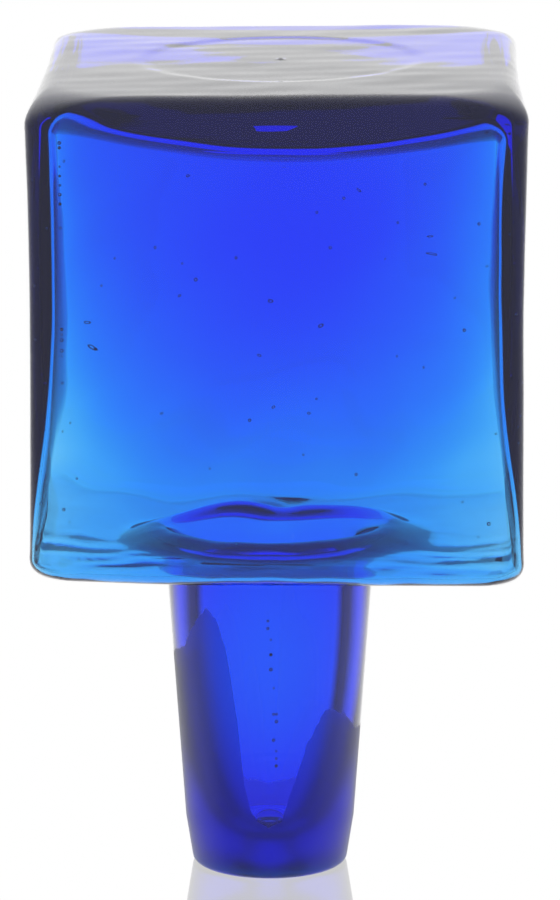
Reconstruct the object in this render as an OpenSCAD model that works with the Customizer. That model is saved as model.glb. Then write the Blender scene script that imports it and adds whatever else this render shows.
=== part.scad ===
// Block-headed glass stopper: a hollow mould-blown head on a hollow, ground shank.
// The origin is the centre of the shank's end face, on which the stopper stands, and +Z is up.
// The head and the shank are one gather of glass. They are drawn as two solids, which meet face to
// face at the head's underside, where the mould ended and the grinding wheel could not reach.

/* [Head] */
// Width of the head, left to right
head_w = 110; // [96:1:130]
// Depth of the head, front to back
head_d = 110; // [96:1:130]
// Height of the head above the shank
head_h = 113; // [100:1:130]
// Rounding of the four upright edges
upright_r = 6; // [5:0.5:10]
// Rounding of the edges round the top
top_r = 8; // [6:0.5:11]
// Rounding that the four top corners get beyond that of their edges
corner_r = 14; // [11:0.5:22]
// Rounding of the edges round the underside
under_r = 5.5; // [4.5:0.5:8]

/* [Walls] */
// Thickness of the side walls beside their edges
wall_t = 2; // [1.5:0.1:3.5]
// Thickness of the top wall beside its edges
top_t = 3; // [2:0.1:5]
// Thickness of the floor round the throat
floor_t = 3; // [2:0.1:5]
// How far inside a face's outline its sunken part starts
sink_margin = 3; // [1.5:0.5:8]
// How far the middle of the left and right walls has sunk in
side_sink = 5; // [2:0.25:6]
// How far the middle of the front and back walls has sunk in
front_sink = 2.5; // [1:0.25:6]
// Glass gathered behind the thickest part of the left and right walls
side_swell = 4.6; // [0.5:0.1:6]
// Glass gathered behind the thickest part of the front and back walls
front_swell = 4.2; // [0.5:0.1:6]
// Height of the thickest part of all four, from the underside of the head
swell_h = 72; // [56:1:84]
// Glass gathered under the middle of the top wall
top_swell = 6; // [0.5:0.1:8]
// Diameter of the shallow dish that the mould's bottom plate left in the top
dish_d = 64; // [40:1:80]
// Depth of that dish
dish_depth = 0.6; // [0.3:0.1:1.2]

/* [Shank] */
// Length of the shank, from its end to the underside of the head
shank_l = 78; // [70:1:100]
// Diameter of the ground taper at its thick end, under the head
taper_top_d = 48.4; // [44:0.2:56]
// Diameter of the ground taper at its thin end
taper_end_d = 39.2; // [36:0.2:43]
// Length of the steeper lead-in below the taper
lead_l = 11; // [6:0.5:16]
// Diameter of the end face, at the foot of the lead-in
end_d = 36.4; // [32:0.2:38]
// Bevel round the end face
end_bevel = 0.8; // [0.4:0.1:1.5]
// Fillet where the shank runs into the head
root_r = 2.5; // [1:0.25:4]

/* [Bore] */
// Widest diameter of the bore in the shank
bore_d = 33; // [28:0.2:36]
// Height at which the bore is widest, from the end face
bore_h = 45; // [38:1:50]
// Radius of the curve by which the bore closes in below that height
ogive_r = 90; // [85:5:250]
// Height of the shoulder where the bore ends, from the end face
shoulder_h = 4.5; // [3:0.5:8]
// Diameter of the hole left by the blowpipe in the end face
hole_d = 7.6; // [6:0.2:10]
// Radius of the flare by which the bore opens into the head
flare_r = 13.5; // [10:0.5:17]

/* [Hidden] */
$fn = 128;
lens_fn = 720;                            // the lenses are shallow caps of very large circles
glass = [0.05, 0.12, 0.85, 0.75];
past = 1;                                 // how far a cutter runs past the face that it opens
head_top = shank_l + head_h;
floor_z = shank_l + floor_t;              // upper face of the floor inside the head
flare_z = floor_z - flare_r;              // where the flare leaves the straight bore
cavity_w = head_w - 2 * wall_t;
cavity_d = head_d - 2 * wall_t;
cavity_h = head_h - floor_t - top_t;
middle_z = shank_l + head_h / 2;          // half way up the head, where its faces have sunk deepest
sink_span = min(head_w, head_d, head_h) - 2 * sink_margin;

// Radius of the sphere that sinks a face by depth over a circle of diameter span.
function sphere_r(span, depth) = (span * span / 4 + depth * depth) / (2 * depth);

// Outline w wide and h high, standing on the X axis, with its lower and upper corners rounded.
module outline(w, h, low_r, high_r) {
    translate([-w / 2, low_r]) square([w, h - low_r - high_r]);
    translate([low_r - w / 2, 0]) square([w - 2 * low_r, low_r]);
    translate([high_r - w / 2, h - high_r]) square([w - 2 * high_r, high_r]);
    for (side = [-1, 1]) {
        translate([side * (w / 2 - low_r), low_r]) circle(low_r);
        translate([side * (w / 2 - high_r), h - high_r]) circle(high_r);
    }
}

// Block standing on the XY plane: where its plan and its two elevations, all rounded, overlap
// inside a turned form, which reaches its upright edges and takes the points off its top corners.
module rounded_block(w, d, h, plan_r, low_r, high_r, turned_r) {
    reach = norm([w / 2 - plan_r, d / 2 - plan_r]) + plan_r;
    intersection() {
        linear_extrude(h) translate([0, -d / 2]) outline(w, d, plan_r, plan_r);
        rotate([90, 0, 0]) linear_extrude(d, center = true) outline(w, h, low_r, high_r);
        rotate([90, 0, 90]) linear_extrude(w, center = true) outline(d, h, low_r, high_r);
        rotate_extrude() intersection() {
            outline(2 * reach, h, low_r, turned_r);
            square([reach, h]);
        }
    }
}

// Lens that sinks a face at distance reach along +X by depth, over a circle of diameter span.
module sinker(reach, span, depth) {
    r = sphere_r(span, depth);
    translate([reach - depth, 0, 0]) rotate([0, 90, 0]) rotate_extrude() intersection() {
        translate([0, r]) circle(r, $fn = lens_fn);
        square([span, depth + past]);
    }
}

// Lenses, centred at height mid_z, for the four upright faces of a block w wide and d deep.
module sinkers(w, d, mid_z, span, side_depth, front_depth) {
    for (turn = [0, 180]) {
        translate([0, 0, mid_z]) rotate([0, 0, turn]) sinker(w / 2, span, side_depth);
        translate([0, 0, mid_z]) rotate([0, 0, turn + 90]) sinker(d / 2, span, front_depth);
    }
}

// The same lens lying on its side, for a face that looks up at height reach.
module top_sinker(reach, span, depth) {
    rotate([0, -90, 0]) sinker(reach, span, depth);
}

module head_outside() {
    difference() {
        translate([0, 0, shank_l])
            rounded_block(head_w, head_d, head_h, upright_r, under_r, top_r, corner_r);
        sinkers(head_w, head_d, middle_z, sink_span, side_sink, front_sink);
        top_sinker(head_top, dish_d, dish_depth);
    }
}

// The first lenses follow the sunken faces, one wall inside them, and the second ones thicken it.
module head_hollow() {
    swell_span = min(cavity_w, cavity_d, cavity_h) - 2 * sink_margin;
    difference() {
        translate([0, 0, floor_z])
            rounded_block(cavity_w, cavity_d, cavity_h,
                          upright_r - wall_t, under_r - wall_t, top_r - top_t, corner_r - top_t);
        sinkers(cavity_w, cavity_d, middle_z, sink_span, side_sink, front_sink);
        sinkers(cavity_w, cavity_d, shank_l + swell_h, swell_span,
                side_sink + side_swell, front_sink + front_swell);
        top_sinker(floor_z + cavity_h, swell_span, dish_depth + top_swell);
    }
}

// Half section of the hollow through the shank and its flare into the floor of the head.
module bore_section() {
    translate([0, -past]) square([hole_d / 2, shoulder_h + 2 * past]);
    intersection() {
        translate([0, shoulder_h]) square([bore_d / 2, bore_h - shoulder_h]);
        translate([bore_d / 2 - ogive_r, bore_h]) circle(ogive_r);
    }
    translate([0, bore_h]) square([bore_d / 2, flare_z - bore_h + past]);
    difference() {
        translate([0, flare_z]) square([bore_d / 2 + flare_r, flare_r + past]);
        translate([bore_d / 2 + flare_r, flare_z]) circle(flare_r);
    }
}

// Half section of the solid shank: bevel, lead-in, ground taper and the fillet under the head.
module shank_section() {
    root_z = shank_l - root_r;
    polygon([
        [0, 0],
        [end_d / 2 - end_bevel, 0],
        [end_d / 2, end_bevel],
        [taper_end_d / 2, lead_l],
        [taper_top_d / 2, root_z],
        [taper_top_d / 2, shank_l],
        [0, shank_l],
    ]);
    difference() {
        translate([taper_top_d / 2, root_z]) square(root_r);
        translate([taper_top_d / 2 + root_r, root_z]) circle(root_r);
    }
}

module head() {
    color(glass) difference() {
        head_outside();
        head_hollow();
        rotate_extrude() bore_section();
    }
}

module shank() {
    color(glass) difference() {
        rotate_extrude() shank_section();
        rotate_extrude() bore_section();
    }
}

head();
shank();
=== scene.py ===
# %% [markdown]
# # A decanter stopper in blown cobalt glass
# The stopper is one gather of glass. It was blown into a square mould, which made the block-shaped
# head, and its neck was then ground to a taper on a wheel, so that it seats in a decanter.
# Everything that the eye sees in it is light that has been bent and coloured by the glass, so the
# model is one closed wall with a true thickness, and not a tinted skin.

import bmesh
import bpy
import numpy as np
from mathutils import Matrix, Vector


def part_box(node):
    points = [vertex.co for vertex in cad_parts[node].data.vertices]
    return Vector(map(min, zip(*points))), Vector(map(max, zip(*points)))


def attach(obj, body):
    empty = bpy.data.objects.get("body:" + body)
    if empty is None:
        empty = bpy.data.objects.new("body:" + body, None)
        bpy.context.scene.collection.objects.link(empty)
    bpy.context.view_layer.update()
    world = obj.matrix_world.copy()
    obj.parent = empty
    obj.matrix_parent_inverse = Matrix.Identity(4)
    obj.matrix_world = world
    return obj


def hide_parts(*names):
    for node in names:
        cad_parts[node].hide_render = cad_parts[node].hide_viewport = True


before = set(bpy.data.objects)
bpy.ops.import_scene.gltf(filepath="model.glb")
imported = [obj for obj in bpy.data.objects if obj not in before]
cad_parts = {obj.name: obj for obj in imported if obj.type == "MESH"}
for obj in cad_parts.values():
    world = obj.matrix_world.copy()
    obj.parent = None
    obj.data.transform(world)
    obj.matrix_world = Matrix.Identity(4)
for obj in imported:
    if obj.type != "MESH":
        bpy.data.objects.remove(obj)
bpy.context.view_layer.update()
print("frame nodes:", sorted(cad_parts))

# %% [markdown]
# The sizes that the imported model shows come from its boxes. What it can't show, such as the
# thickness of the wall inside, is written here once, in millimetres, as a glassblower would give it.

# %% Sizes in millimetres
MM = 0.001
head_low, head_high = (np.array(corner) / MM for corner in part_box("head"))
shank_low, shank_high = (np.array(corner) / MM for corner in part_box("shank"))
HALF = head_high[0]                 # half the width of the head
TOP = head_high[2]                  # height of the top edges
UNDER = head_low[2]                 # underside of the head, where the shank begins
MIDDLE = (TOP + UNDER) / 2

UPRIGHT_R = 5.0                     # rounding of the four upright edges
TOP_CORNER_R = 18.0                 # the same edges where they reach the top, which is rounder
TOP_R = 6.5                         # rounding of the edges round the top
UNDER_R = 5.5                       # rounding of the edges round the underside
EDGE_WALL = 1.4                     # the wall beside the upright edges
FLOOR = UNDER + 1.7                 # upper face of the floor inside the head
CEILING = TOP - 3.0                 # lower face of the top wall, at its edges

ROOT_R = 2.5                        # fillet where the shank runs into the head
TAPER_TOP_R = 24.2                  # ground taper, at its thick end
TAPER_END_R = 19.6                  # ground taper, at its thin end
LEAD = 11.0                         # height of the steeper lead-in at the end
END_R = 18.1                        # radius where the lead-in ends
END_ROUND = 1.6                     # rounding of the end face's rim, which is worn
HOLE_R = 3.8                        # hole that the blowpipe left
# The next two heights are those before the glass heaped round the throat lifts the whole bore by
# THROAT_GATHER. In the finished piece the bore sits that much higher, at 8.4 and 67.8.
SHOULDER = 4.6                      # height at which the bore closes in over that hole
BORE_WIDEST = 64.0                  # height at which the bore is widest
BORE_R = 17.1
FLARE_R = 11.0                      # the bore opens into the head by this radius
print(f"head {2 * HALF:.1f} mm wide, from {UNDER:.1f} to {TOP:.1f} mm up")
print(f"shank {shank_high[0] - shank_low[0]:.1f} mm wide, {shank_high[2] - shank_low[2]:.1f} mm long")

# %% [markdown]
# The whole wall is one surface: rings that go round, stacked along a path. The path starts in the
# middle of the top, runs down the outside of the head and the shank, turns in at the end face and
# comes back up the bore and the inside of the head to the middle of the ceiling. A ring can be a
# circle, as on the shank, a square with round corners, as on the head, or something in between.

# %% Rings
AROUND = 208                        # points in a ring, a multiple of 4
STRAIGHT = 0.33                     # share of a quarter ring that each half side takes

quarter, within = np.divmod(4 * np.arange(AROUND) / AROUND, 1)
toward = np.clip(within / STRAIGHT, 0, 1)
away = np.clip((within - 1 + STRAIGHT) / STRAIGHT, 0, 1)
corner = np.clip((within - STRAIGHT) / (1 - 2 * STRAIGHT), 0, 1)


def ring(half, radius, roundness):
    """Corner arc of the given radius, carried by a point that walks the square inside the arcs.

    x = (half - radius) * walk_x + radius * cos(turn), and y likewise with sin, in the first quarter,
    then turned by 90 degrees for each further quarter. Roundness 0 turns only in the corner, which
    gives straight sides, and 1 turns evenly, which gives a circle once radius equals half.
    """
    turn = ((1 - roundness) * corner + roundness * within) * np.pi / 2
    x = (half - radius) * (1 - away) + radius * np.cos(turn)
    y = (half - radius) * toward + radius * np.sin(turn)
    c, s = np.cos(quarter * np.pi / 2), np.sin(quarter * np.pi / 2)
    return np.stack([x * c - y * s, x * s + y * c], -1)


def row(half, radius, roundness, z):
    """One ring as an array of 3-D points at height z."""
    return np.column_stack([ring(half, radius, roundness), np.full(AROUND, z)])


def rows(count, half, radius, roundness, z):
    """Rows between two ends: each argument is a number, a pair that is blended evenly, or an array."""
    def spread(value):
        if np.ndim(value) == 0 or len(value) != 2:
            return np.broadcast_to(value, count)
        return np.linspace(*value, count, endpoint=False)
    return [row(*values) for values in zip(spread(half), spread(radius), spread(roundness), spread(z))]


def quarter_turn(count):
    """Sine and cosine of angles that go evenly from 0 towards 90 degrees."""
    angle = np.linspace(0, np.pi / 2, count, endpoint=False)
    return np.sin(angle), np.cos(angle)


# %% Outside, from the middle of the top to the end face
rim_half = HALF - TOP_R
sin, cos = quarter_turn(12)
outside = rows(58, (0, rim_half), (0, TOP_CORNER_R), (1, 0), TOP)
outside += rows(12, rim_half + TOP_R * sin, TOP_CORNER_R + (UPRIGHT_R - TOP_CORNER_R) * sin, 0,
                TOP - TOP_R + TOP_R * cos)
outside += rows(84, HALF, UPRIGHT_R, 0, (TOP - TOP_R, UNDER + UNDER_R))
sin, cos = quarter_turn(8)
FOOT_WIDENS = 2.0                   # the upright edges round out by this much as they reach the underside
outside += rows(8, HALF - UNDER_R + UNDER_R * cos, UPRIGHT_R + FOOT_WIDENS * (1 - cos), 0,
                UNDER + UNDER_R - UNDER_R * sin)
root_half = TAPER_TOP_R + ROOT_R
outside += rows(16, (HALF - UNDER_R, root_half), (UPRIGHT_R + FOOT_WIDENS, root_half), (0, 1), UNDER)
sin, cos = quarter_turn(5)
outside += rows(5, root_half - ROOT_R * sin, root_half - ROOT_R * sin, 1, UNDER - ROOT_R * (1 - cos))
taper = (TAPER_TOP_R, TAPER_END_R)
outside += rows(72, taper, taper, 1, (UNDER - ROOT_R, LEAD))
lead = (TAPER_END_R, END_R)
outside += rows(9, lead, lead, 1, (LEAD, END_ROUND))
sin, cos = quarter_turn(4)
worn = END_R - END_ROUND * (1 - cos)
outside += rows(4, worn, worn, 1, END_ROUND * (1 - sin))
end = (END_R - END_ROUND, HOLE_R)
outside += rows(6, end, end, 1, 0)
print("rows outside", len(outside))

# %% Inside, from the hole up to the middle of the ceiling
inner_half = HALF - EDGE_WALL
INNER_R = 3.0                       # rounding of the upright edges inside
INNER_TOP_R = 5.0                   # rounding round the ceiling
INNER_LOW_R = 3.6                   # rounding round the floor
INNER_FOOT = 4.0                    # the upright edges inside round out by this much at the floor
OGIVE_POWER = 0.45                  # below 0.5 the bore closes in more bluntly than an ellipse does
inside = rows(3, HOLE_R, HOLE_R, 1, (0, SHOULDER))
rise = np.linspace(0, 1, 26, endpoint=False)
ogive = HOLE_R + (BORE_R - HOLE_R) * (1 - (1 - rise ** 2) ** 2) ** OGIVE_POWER
inside += rows(26, ogive, ogive, 1, SHOULDER + (BORE_WIDEST - SHOULDER) * rise ** 2)
inside += rows(2, BORE_R, BORE_R, 1, (BORE_WIDEST, FLOOR - FLARE_R))
sin, cos = quarter_turn(14)
flare = BORE_R + FLARE_R * (1 - cos)
inside += rows(14, flare, flare, 1, FLOOR - FLARE_R + FLARE_R * sin)
flare_half = BORE_R + FLARE_R
inside += rows(16, (flare_half, inner_half - INNER_LOW_R), (flare_half, INNER_R + INNER_FOOT), (1, 0), FLOOR)
sin, cos = quarter_turn(14)
inside += rows(14, inner_half - INNER_LOW_R * (1 - sin), INNER_R + INNER_FOOT * (1 - sin), 0,
               FLOOR + INNER_LOW_R * (1 - cos))
inside += rows(54, inner_half, INNER_R, 0, (FLOOR + INNER_LOW_R, CEILING - INNER_TOP_R))
sin, cos = quarter_turn(9)
inside += rows(9, inner_half - INNER_TOP_R * (1 - cos), INNER_R, 0,
               CEILING - INNER_TOP_R * (1 - sin))
inside += rows(30, (inner_half - INNER_TOP_R, 0), (INNER_R, 0), (0, 1), CEILING)
inside += [row(0, 0, 1, CEILING)]
outside, inside = np.array(outside), np.array(inside)
print("rows outside", len(outside), "inside", len(inside), "quads", (len(outside) + len(inside)) * AROUND)

# %% [markdown]
# Hot glass sinks away from the mould as it cools, so each face is a little hollow. Inside, the wall
# is uneven: in front and behind it is thickest high up, behind the middle of each face, and a ring
# of glass lies heaped round the throat. A wall of even thickness would be simpler, but the thick
# places make the deep blue and the dark bands, so they are worth the extra functions.

# %% Sunken faces and an uneven wall
SIDE_SINK = 5.2                     # deepest point of the left and right faces
FRONT_SINK = 2.5                    # deepest point of the front and back faces
TOP_FALL = 0.3                      # the top falls by this much from its middle to the middle of an edge
TOP_TO_FRONT = 2.5                  # and it leans: its front edge is this much lower than its back edge
TOP_TO_LEFT = 0.9                   # and its left edge this much lower than its right edge
UNDER_LIFT = 0.9                    # the underside rises by this much to the left
SIDE_WALL = 3.8                     # extra glass in the side walls, at their edges, high up
SIDE_GATHER = 2.5                   # and more between those edges
FRONT_GATHER = 7.5                  # extra glass inside the front and back walls, high up
FRONT_FOOT = 1.7                    # the same at their foot
TOP_EDGE = 7.5                      # extra glass under the edges of the top, at their middle
TOP_WEDGE = 4.5                     # the top wall is thicker by this much at the back than in front
TOP_TO_RIGHT = 2.4                  # and by this much more at the right than at the left
TOP_GATHER = 0.5                    # extra glass under the middle of the top
THROAT_GATHER = 3.8                 # extra glass in the floor round the throat
THROAT_SLOPE = (23, 36)             # distances from the axis over which it thins out again
THROAT_NOTCH = 0.9                  # a fold that lowers its far rim in the middle
NOTCH_AT = 1.0, 4.5                 # where the fold lies, to the right of the axis, and how wide it is
RIPPLE = 0.16                       # height of the ripples on the floor inside, towards the front
DISH_R = 32.0                       # the mould's bottom plate left a ring of this radius
DISH = 0.3                          # and the glass inside the ring lies this much lower
LEAN = 0.35                         # how far the deepest part of a sunken face leans to its high side
HOLD = 0.55                         # share of the way from the axis to a wall that never moves


def smooth(low, high, value):
    """0 below low, 1 above high, and 3t^2 - 2t^3 between them."""
    t = np.clip((value - low) / (high - low), 0, 1)
    return t * t * (3 - 2 * t)


def crown(value, lean=0.0):
    """1 in the middle of a face and 0 at its edges, 1 - value^2, leaning to the high side by lean."""
    return np.clip(1 - value * value, 0, 1) * (1 + lean * value)


def press_in(points, half, low, high, side, front, top):
    """Moves each face inwards by the depth that its function gives for (across, across, height).

    The way from HOLD to the wall takes up the move, by a smooth step, so that the middle stays.
    """
    x, y, z = points[..., 0], points[..., 1], points[..., 2]
    u, v, w = x / half, y / half, (2 * z - high - low) / (high - low)
    grip_x = smooth(HOLD, 1, abs(u)) * np.sign(x)
    grip_y = smooth(HOLD, 1, abs(v)) * np.sign(y)
    grip_z = smooth(0.3, 1, w)
    return points - np.stack([side(v, w) * grip_x, front(u, w) * grip_y, top(u, v) * grip_z], -1)


def heap_round_throat(points):
    """Height added to the floor: full near the axis, thinning out over THROAT_SLOPE, less the fold.

    Everything below the floor gets it as well, so the bore rises with the floor that it opens into.
    """
    x, y, z = points[..., 0], points[..., 1], points[..., 2]
    heap = THROAT_GATHER * (1 - smooth(*THROAT_SLOPE, np.hypot(x, y)))
    heap -= THROAT_NOTCH * np.exp(-((x - NOTCH_AT[0]) / NOTCH_AT[1]) ** 2) * smooth(0, 20, y)
    below = (FLOOR + CEILING - 2 * z) / (CEILING - FLOOR)     # 1 on the floor, more below it
    return heap * smooth(0.98, 1, below)


def side_out(v, w):
    """Depth of the left and right faces."""
    return SIDE_SINK * crown(v) * crown(w, LEAN)


def front_out(u, w):
    """Depth of the front and back faces."""
    return FRONT_SINK * crown(u) * crown(w, LEAN)


def top_out(u, v):
    """Depth of the top: a shallow dome, plus the two straight leans."""
    return TOP_FALL * (u * u + v * v) + TOP_TO_FRONT * (1 - v) / 2 + TOP_TO_LEFT * (1 - u) / 2


def side_in(v, w):
    """Sunken face plus the wall behind it, which is thin at the foot and thickens half way up."""
    return side_out(v, w) + SIDE_WALL * smooth(-1, 0.2, w) + SIDE_GATHER * crown(v) * crown(w)


def front_in(u, w):
    """Sunken face plus a gather that grows with height and thins out towards the upright edges."""
    gather = FRONT_FOOT + (FRONT_GATHER - FRONT_FOOT) * smooth(-1.2, 0.5, w)
    return front_out(u, w) + gather * crown((0.92 - 0.06 * w) * u)


def top_in(u, v):
    """Top plus glass under the middle of its edges, a wedge to the back and right, and a swell."""
    edges = TOP_EDGE * (1 - (1 - crown(u) ** 1.6) * (1 - crown(v) ** 1.6))
    wedge = TOP_WEDGE * (1 + v) / 2 + TOP_TO_RIGHT * (1 + u) / 2
    return top_out(u, v) + edges + wedge + TOP_GATHER * crown(u) * crown(v)


shell = press_in(outside, HALF, UNDER, TOP, side_out, front_out, top_out)
from_axis = np.hypot(outside[..., 0], outside[..., 1])
on_top = outside[..., 2] > TOP - 0.01
shell[..., 2] -= on_top * DISH * (1 - smooth(DISH_R - 3, DISH_R + 1, from_axis))

hollow = press_in(inside, inner_half, FLOOR, CEILING, side_in, front_in, top_in)
hollow[..., 2] += heap_round_throat(inside)
print("bore closes in at", round(float(SHOULDER + THROAT_GATHER), 1), "mm, once lifted")

# %% [markdown]
# No face of a hand-blown piece is quite true. A few long waves in space, each a sine along its own
# direction, push the surface in and out by a tenth of a millimetre or two. Finer ones ripple the
# top, where the glass chilled against the mould, and the floor inside.

# %% Waves
dice = np.random.default_rng(11)


def waves(points, length, count=14):
    """Sum of sines over 3-D space, each with its own direction and phase, scaled to about -1 to 1."""
    directions = dice.normal(size=(count, 3))
    directions /= np.linalg.norm(directions, axis=1, keepdims=True)
    lengths = length * dice.uniform(0.7, 1.5, count)
    phases = dice.uniform(0, 2 * np.pi, count)
    return np.sin(2 * np.pi * points @ (directions / lengths[:, None]).T + phases).sum(-1) / count ** 0.5


def out_of_glass(surface):
    """Unit normals from the two directions of the grid: along the path, crossed with round the ring."""
    along = np.gradient(surface, axis=0)
    round_ = np.roll(surface, -1, 1) - np.roll(surface, 1, 1)
    normal = np.cross(along, round_)
    return normal / np.maximum(np.linalg.norm(normal, axis=-1, keepdims=True), 1e-9)


wall = np.concatenate([shell, hollow])
is_inside = np.arange(len(wall))[:, None] >= len(shell)
in_head = smooth(UNDER, UNDER + 8, wall[..., 2])
swell = waves(wall, 38) * (0.12 + 0.2 * is_inside) + waves(wall, 14) * (0.035 + 0.07 * is_inside)
SWELL = 0.6                         # share of those heights, in mm, that the surface gets
inset = 0.35 * ~is_inside                       # keeps the waves inside the frame's box
x, y, z = np.moveaxis(wall, -1, 0)
on_floor = is_inside * smooth(FLOOR + 9, FLOOR + 5, z) * smooth(18, 26, np.hypot(x, y))
to_sides = 0.4 + 0.6 * smooth(12, 34, abs(x))
ripple = waves(wall * (0.3, 1, 0), 9) * RIPPLE * smooth(0, -30, y) * to_sides
ripple += waves(wall * (0.5, 1, 0), 4.5) * 0.4 * RIPPLE * smooth(10, -30, y)
CHILL = 0.03                        # height of the ripples on the top
chill = waves(wall * (0.35, 1, 0), 7) * CHILL * ~is_inside * smooth(TOP - 6, TOP - 3.5, z)
wall += out_of_glass(wall) * (chill + (swell * SWELL - inset) * in_head + ripple * on_floor)[..., None]

# %% [markdown]
# The shank was ground after the head had set, on an axis of its own, so the two don't quite line up.
# The mould was also a little wider where it opened, at what is now the top.

# %% Out of true
HEAD_ASIDE = 1.2                    # the head sits this far to the right of the frame's axis
SHANK_ASIDE = -1.3                  # and the shank this far to the left of it
WIDER = 0.003, 0.011                # the head is wider by these shares, at its underside and at its top


def out_of_true(points):
    """Moves head and shank apart sideways, spreads the head upwards and lifts its underside's left."""
    x, y, z = points[..., 0], points[..., 1], points[..., 2]
    beside_throat = smooth(27, 45, np.hypot(x, y)) * smooth(UNDER - 3, UNDER, z)
    head = np.maximum(smooth(UNDER, UNDER + 12, z), beside_throat)
    height = (z - UNDER) / (TOP - UNDER)
    wider = 1 + (WIDER[0] + (WIDER[1] - WIDER[0]) * height) * head
    lift = UNDER_LIFT * smooth(0.3, 1, -x / HALF) * smooth(0.35, 0, height) * head
    aside = SHANK_ASIDE + (HEAD_ASIDE - SHANK_ASIDE) * head
    return np.stack([x * wider + aside, y * wider, z + lift], -1)


wall = out_of_true(wall)

# %% [markdown]
# The taper was ground with wet grit until it fitted its decanter. The wheel touched only what stood
# proud, so the matt zone ends in a ragged line: high at the sides, low in front. A painted mask could
# hold that line, but a short table of heights by angle is easier to read and to change. The heights
# at the back are a guess.

# %% Ground zone
GROUND_LINE = np.array([            # angle from the front, to the right, and height of the zone's edge
    (-180, 10), (-145, 12), (-128, 28), (-110, 44), (-90, 50), (-60, 54), (-38, 65), (-31, 63), (-25, 56),
    (-22, 47), (-19, 38), (-16, 24), (-11, 16), (0, 13), (9, 15), (17, 24), (26, 34), (38, 41), (52, 39),
    (70, 34), (90, 33), (115, 28), (145, 12), (180, 10)])


def ground_depth(points):
    """How far in mm a point of the shank's outside lies below the edge of the ground zone."""
    angle = np.degrees(np.arctan2(points[..., 0] - SHANK_ASIDE, -points[..., 1]))
    return np.interp(angle, *GROUND_LINE.T) - points[..., 2]


below_edge = np.where(is_inside, -9.0, ground_depth(wall))
below_edge = np.clip(below_edge, -9, 9)
bored = is_inside & (wall[..., 2] < UNDER) & (wall[..., 2] > SHOULDER)

# %% [markdown]
# The rings become quads, and the first and last ring close to a point. A lathe, which Blender calls
# Screw, would turn the shank but not the square head, and two meshes would leave a seam where the
# glass has none. So one grid serves both, and Blender gets it as whole arrays.

# %% Mesh
def tube_mesh(name, grid):
    """Quads between neighbouring rings, and a fan of triangles at each closed end."""
    poles = grid[[0, -1], 0]
    body = grid[1:-1]
    count = len(body)
    i, j = np.meshgrid(np.arange(count - 1), np.arange(AROUND), indexing="ij")
    here, right = i * AROUND + j, i * AROUND + (j + 1) % AROUND
    quads = np.stack([here, here + AROUND, right + AROUND, right], -1).reshape(-1, 4)
    k = np.arange(AROUND)
    after = (k + 1) % AROUND
    last = (count - 1) * AROUND
    first_fan = np.stack([np.full(AROUND, count * AROUND), k, after], -1)
    last_fan = np.stack([last + k, np.full(AROUND, count * AROUND + 1), last + after], -1)
    mesh = bpy.data.meshes.new(name)
    points = np.concatenate([body.reshape(-1, 3), poles]) * MM
    mesh.from_pydata(points.tolist(), [], quads.tolist() + first_fan.tolist() + last_fan.tolist())
    mesh.shade_smooth()
    piece = bpy.data.objects.new(name, mesh)
    bpy.context.scene.collection.objects.link(piece)
    return piece


def keep_per_point(piece, name, grid):
    """Stores one number per vertex, in the order in which tube_mesh lays the vertices."""
    values = np.concatenate([grid[1:-1].ravel(), grid[[0, -1], 0]]).astype(np.float32)
    piece.data.attributes.new(name, "FLOAT", "POINT").data.foreach_set("value", values)


glass = tube_mesh("blown_glass", wall)
keep_per_point(glass, "below_edge", below_edge)
keep_per_point(glass, "bored", bored)

# %% [markdown]
# Hand-gathered glass carries seeds: bubbles of half a millimetre that the melt never lost. Each is
# a small sphere inside the wall, wound to face inwards, because there the air is on its inside. Most
# are scattered over the head, and three strings of them lie in front, the last down the shank.

# %% Seeds
SEEDS = 150                         # scattered over the head; 25 more would pass 200,000 triangles
SEED_R = 0.22, 0.44                 # smallest and largest radius
STRINGS = (                         # first and last point on the front, and how many seeds between
    ((-46.5, 181), (-47.5, 150), 13), ((-48, 146), (-45, 120), 7), ((-1, 64), (1, 20), 15))


def unit_sphere():
    """Points and triangles of a sphere of radius 1, wound so that it looks inwards."""
    ball = bmesh.new()
    bmesh.ops.create_icosphere(ball, subdivisions=2, radius=1)
    points = np.array([point.co for point in ball.verts])
    faces = np.array([[point.index for point in face.verts] for face in ball.faces])
    ball.free()
    return points, faces[:, ::-1]


def bubbles(name, centres, radii):
    """One mesh with a small sphere at every centre."""
    points, faces = unit_sphere()
    spots = centres[:, None] + points * radii[:, None, None]
    shifts = np.arange(len(centres))[:, None, None] * len(points)
    mesh = bpy.data.meshes.new(name)
    mesh.from_pydata((spots.reshape(-1, 3) * MM).tolist(), [], (faces + shifts).reshape(-1, 3).tolist())
    mesh.shade_smooth()
    piece = bpy.data.objects.new(name, mesh)
    bpy.context.scene.collection.objects.link(piece)
    for attribute, value in (("below_edge", -9.0), ("bored", 0.0)):
        values = np.full(len(mesh.vertices), value, np.float32)
        mesh.attributes.new(attribute, "FLOAT", "POINT").data.foreach_set("value", values)
    return piece


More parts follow.
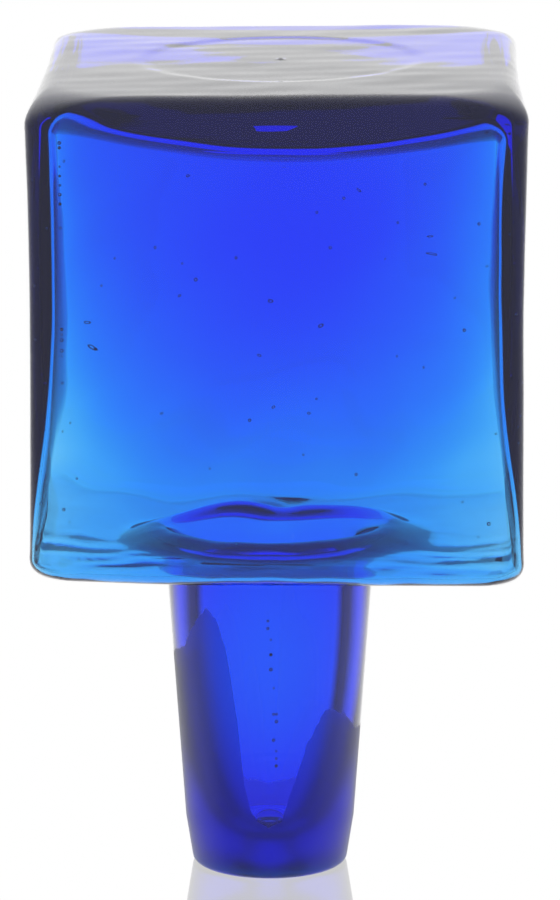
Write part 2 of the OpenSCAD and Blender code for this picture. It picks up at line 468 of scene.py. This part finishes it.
skin_out = out_of_glass(wall)
upright = np.flatnonzero(abs(wall[:len(shell), 0, 2] - MIDDLE) < 48)
picked = dice.choice(upright, SEEDS), dice.integers(0, AROUND, SEEDS)
sunk = dice.uniform(0.5, 0.9, (SEEDS, 1))           # how deep in the wall each one lies
centres = [wall[picked] - sunk * skin_out[picked]]
for first, last, count in STRINGS:
    along = np.sort(dice.uniform(0, 1, count))[:, None]
    line = np.array(first) + (np.array(last) - first) * along + dice.normal(0, 0.25, (count, 2))
    in_front = skin_out[:len(shell), :, 1] < -0.5
    facing = wall[:len(shell)][in_front]
    outward = skin_out[:len(shell)][in_front]
    nearest = [np.argmin(np.hypot(*(facing[:, [0, 2]] - spot).T)) for spot in line]
    centres.append(facing[nearest] - 0.6 * outward[nearest])
centres = np.concatenate(centres)
seeds = bubbles("seeds", centres, dice.uniform(*SEED_R, len(centres)))
with bpy.context.temp_override(active_object=glass, selected_editable_objects=[glass, seeds]):
    bpy.ops.object.join()
print("seeds", len(centres), "faces", len(glass.data.polygons))
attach(glass, "root")
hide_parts("head", "shank")


# %% [markdown]
# Cobalt oxide takes out red at once and green over a few millimetres, and lets nearly all of the blue
# through, so thin glass is light blue and thick glass violet-blue. That colour belongs inside the
# glass: it is a volume that absorbs, with a clear surface round it. A painted surface could not tell
# a thin wall from a thick one. The head is fire-polished, and the taper is ground matt with grit.

# %% Node helpers
def linear(code):
    """sRGB hex to linear RGBA."""
    srgb = np.array([int(code[i:i + 2], 16) for i in (1, 3, 5)]) / 255
    rgb = np.where(srgb <= 0.04045, srgb / 12.92, ((srgb + 0.055) / 1.055) ** 2.4)
    return (*rgb.tolist(), 1.0)


def add(tree, kind, inputs=None, **settings):
    """Adds a node, sets what settings name, and fills each input with a value or a link."""
    node = tree.nodes.new(kind)
    for name, value in settings.items():
        setattr(node, name, value)
    for key, value in (inputs or {}).items():
        if isinstance(value, bpy.types.NodeSocket):
            tree.links.new(value, node.inputs[key])
        else:
            node.inputs[key].default_value = value
    return node


def new_material(name):
    """An empty material and its node tree."""
    material = bpy.data.materials.new(name)
    material.use_nodes = True
    material.node_tree.nodes.clear()
    return material, material.node_tree


# %% Ground taper
GRAIN_SCALE = 350.0                 # noise of about 3 mm, which frays the edge of the ground zone
FRAY = 3.0                          # how many mm that edge wanders
GROUND_ROUGHNESS = 0.42             # matt from grit; coarser grit would be rougher

cobalt, tree = new_material("cobalt_glass_fire_polished_and_ground")
place = add(tree, "ShaderNodeTexCoord").outputs["Object"]
depth = add(tree, "ShaderNodeAttribute", attribute_name="below_edge").outputs["Fac"]
ragged = add(tree, "ShaderNodeTexNoise", {
    "Vector": place, "Scale": GRAIN_SCALE, "Detail": 3.0}).outputs["Fac"]
edge = add(tree, "ShaderNodeMath", {0: ragged, 1: FRAY, 2: depth}, operation="MULTIPLY_ADD").outputs[0]
ground = add(tree, "ShaderNodeMapRange", {"Value": edge, "From Min": 1.2, "From Max": 1.9}).outputs[0]
matt = add(tree, "ShaderNodeMath", {0: ground, 1: GROUND_ROUGHNESS}, operation="MULTIPLY").outputs[0]
worn = add(tree, "ShaderNodeMix", {"Factor": ground, "A": linear("#ffffff"), "B": linear("#bcbccb")},
           data_type="RGBA").outputs["Result"]

# %% [markdown]
# The surface is clear glass with an index of 1.5. Two settings are matched and are not
# properties of glass: the bluish specular tint, and a thin coat that makes the top reflect more.

# %% Surface
skin = add(tree, "ShaderNodeBsdfPrincipled", {
    "Base Color": worn, "Roughness": matt, "IOR": 1.5, "Transmission Weight": 1.0,
    "Specular Tint": linear("#cbceff"),
    "Coat Weight": 0.7, "Coat IOR": 1.2, "Coat Roughness": matt})

# %% [markdown]
# Light that skims along inside a wall meets many seeds and much glass, and comes out dim. So few
# seeds can't show that, so a dark shade is painted in for it: a dark diffuse colour mixed into the
# surface. It works only on light that is already in the glass, where it meets the surface at a slant.
# On the bore, a second narrow range of angles gets the same painted shade, which draws the dark line
# down each side of the shank. Both are painted shade that stands in for lost light, and their angles
# are matched.

# %% Painted shade that stands in for lost light
slant = add(tree, "ShaderNodeLayerWeight", {"Blend": 0.5}).outputs["Facing"]
from_glass = add(tree, "ShaderNodeNewGeometry").outputs["Backfacing"]
in_bore = add(tree, "ShaderNodeAttribute", attribute_name="bored").outputs["Fac"]
nears = add(tree, "ShaderNodeMapRange", {"Value": slant, "From Min": 0.20, "From Max": 0.245}).outputs[0]
passes = add(tree, "ShaderNodeMapRange", {
    "Value": slant, "From Min": 0.30, "From Max": 0.38, "To Min": 0.85, "To Max": 0.0}).outputs[0]
skims = add(tree, "ShaderNodeMapRange", {
    "Value": slant, "From Min": 0.42, "From Max": 0.52, "To Max": 0.93}).outputs[0]
# painted shade: mask of where a dark colour is mixed into the glass surface at a slant
painted_shade_mask = nears
steps = (passes, "MULTIPLY"), (in_bore, "MULTIPLY"), (skims, "MAXIMUM"), (from_glass, "MULTIPLY")
for factor, how in steps:
    painted_shade_mask = add(tree, "ShaderNodeMath", {0: painted_shade_mask, 1: factor}, operation=how).outputs[0]
# colour of the painted shade, mixed into the glass surface by the mask above
dark = add(tree, "ShaderNodeBsdfDiffuse", {"Color": linear("#191930")})
skin = add(tree, "ShaderNodeMixShader", {0: painted_shade_mask, 1: skin.outputs[0], 2: dark.outputs[0]})

# %% Colour inside the glass
# What is absorbed per metre is density x (1 - colour): 760 of red, 220 of green and 4 of blue. The
# step between the last two hex codes is too coarse for the blue, so this colour is written as is.
absorb = add(tree, "ShaderNodeVolumeAbsorption", {"Color": (0.0, 0.71, 0.9945, 1), "Density": 760.0})
add(tree, "ShaderNodeOutputMaterial", {"Surface": skin.outputs[0], "Volume": absorb.outputs[0]})
glass.data.materials.append(cobalt)
print("material", cobalt.name, "with", len(tree.nodes), "nodes")

# %% [markdown]
# Glass is shown best against a bright field: it has little of its own to show, and what is behind it
# lights it. The world and the sheet below are white to the eye and through the glass, and give less
# light than that to everything else, so that nothing is overlit.

# %% World
WHITE = linear("#ffffff")


def seen_directly(tree):
    """1 for camera, glossy and transmission rays, and 0 for the rest."""
    path = add(tree, "ShaderNodeLightPath")
    either = add(tree, "ShaderNodeMath", {
        0: path.outputs["Is Camera Ray"], 1: path.outputs["Is Transmission Ray"]}, operation="MAXIMUM")
    return add(tree, "ShaderNodeMath", {
        0: either.outputs[0], 1: path.outputs["Is Glossy Ray"]}, operation="MAXIMUM").outputs[0]


world = bpy.data.worlds.new("studio")
bpy.context.scene.world = world
world.use_nodes = True
tree = world.node_tree
tree.nodes.clear()
plain = add(tree, "ShaderNodeBackground", {"Color": WHITE, "Strength": 0.55})
shown = add(tree, "ShaderNodeBackground", {"Color": WHITE, "Strength": 1.0})
mixed = add(tree, "ShaderNodeMixShader", {0: seen_directly(tree), 1: plain.outputs[0], 2: shown.outputs[0]})
add(tree, "ShaderNodeOutputWorld", {"Surface": mixed.outputs[0]})

# %% [markdown]
# The stopper stands on a glossy white sheet of acrylic. To the eye the sheet is part glow and part
# mirror, which keeps it white and still shows the faint reflection of the shank.

# %% Acrylic sheet
MIRROR_SHARE = 0.45                 # share of the sheet's look that is reflection

bpy.ops.mesh.primitive_plane_add(size=12, location=(0, 0, 0))
floor = bpy.context.object
floor.name = "studio_floor"
acrylic, tree = new_material("white_acrylic_sheet")
lit = add(tree, "ShaderNodeBsdfDiffuse", {"Color": linear("#cbcbcb")})
glow = add(tree, "ShaderNodeEmission", {"Color": WHITE, "Strength": 1.0})
gloss = add(tree, "ShaderNodeBsdfGlossy", {"Color": WHITE, "Roughness": 0.04})
mirror = add(tree, "ShaderNodeMixShader", {0: MIRROR_SHARE, 1: glow.outputs[0], 2: gloss.outputs[0]})
path = add(tree, "ShaderNodeLightPath")
sheet = lit
for ray, shader in (("Is Transmission Ray", glow), ("Is Glossy Ray", glow), ("Is Camera Ray", mirror)):
    sheet = add(tree, "ShaderNodeMixShader", {
        0: path.outputs[ray], 1: sheet.outputs[0], 2: shader.outputs[0]})
add(tree, "ShaderNodeOutputMaterial", {"Surface": sheet.outputs[0]})
floor.data.materials.append(acrylic)

# %% [markdown]
# Four softboxes, one on each side, light it evenly. They are hidden from the eye, from reflections
# and from what is seen through the glass, so no lamp shows in it.

# %% Softboxes
SOFTBOX = (1.9, 1.1)                # width and height in metres
RADIANCE = 0.75
AWAY = 1.7                          # distance from the axis
LAMP_HEIGHT = 0.62
for side in range(4):
    data = bpy.data.lights.new(f"softbox_{side}", "AREA")
    data.shape = "RECTANGLE"
    data.size, data.size_y = SOFTBOX
    data.energy = RADIANCE * np.pi * SOFTBOX[0] * SOFTBOX[1]
    lamp = bpy.data.objects.new(f"softbox_{side}", data)
    angle = side * np.pi / 2
    lamp.location = (AWAY * np.sin(angle), AWAY * np.cos(angle), LAMP_HEIGHT)
    lamp.rotation_euler = (np.pi / 2, 0, np.pi - angle)
    lamp.visible_camera = lamp.visible_glossy = lamp.visible_transmission = False
    bpy.context.scene.collection.objects.link(lamp)

# %% [markdown]
# The bounce limits are part of the look. Light may be reflected only once on its way and pass six
# surfaces. Real light goes on, but what is reflected twice inside this glass has a long way to go
# and comes out dark, and ending it there gives the clean dark bands along the edges.

# %% Bounces and camera
scene = bpy.context.scene
scene.cycles.max_bounces = 9
scene.cycles.glossy_bounces = 1
scene.cycles.transmission_bounces = 6
scene.view_settings.view_transform = "Standard"

AZIMUTH = np.radians(1.03)          # the camera stands almost square to the front
LOOKS_DOWN = 12.19                  # degrees
DISTANCE = 1.1527                   # metres from the axis
CAMERA_HEIGHT = 0.3469
CAMERA_ASIDE = 1.06                 # mm to the right, across the line of sight
camera_data = bpy.data.cameras.new("camera")
camera_data.lens = 204.5
camera_data.clip_end = 50
camera = bpy.data.objects.new("camera", camera_data)
scene.collection.objects.link(camera)
aside = CAMERA_ASIDE * MM
camera.location = (DISTANCE * np.sin(AZIMUTH) + aside * np.cos(AZIMUTH),
                   aside * np.sin(AZIMUTH) - DISTANCE * np.cos(AZIMUTH), CAMERA_HEIGHT)
camera.rotation_euler = (np.radians(90 - LOOKS_DOWN), 0, AZIMUTH)
scene.camera = camera
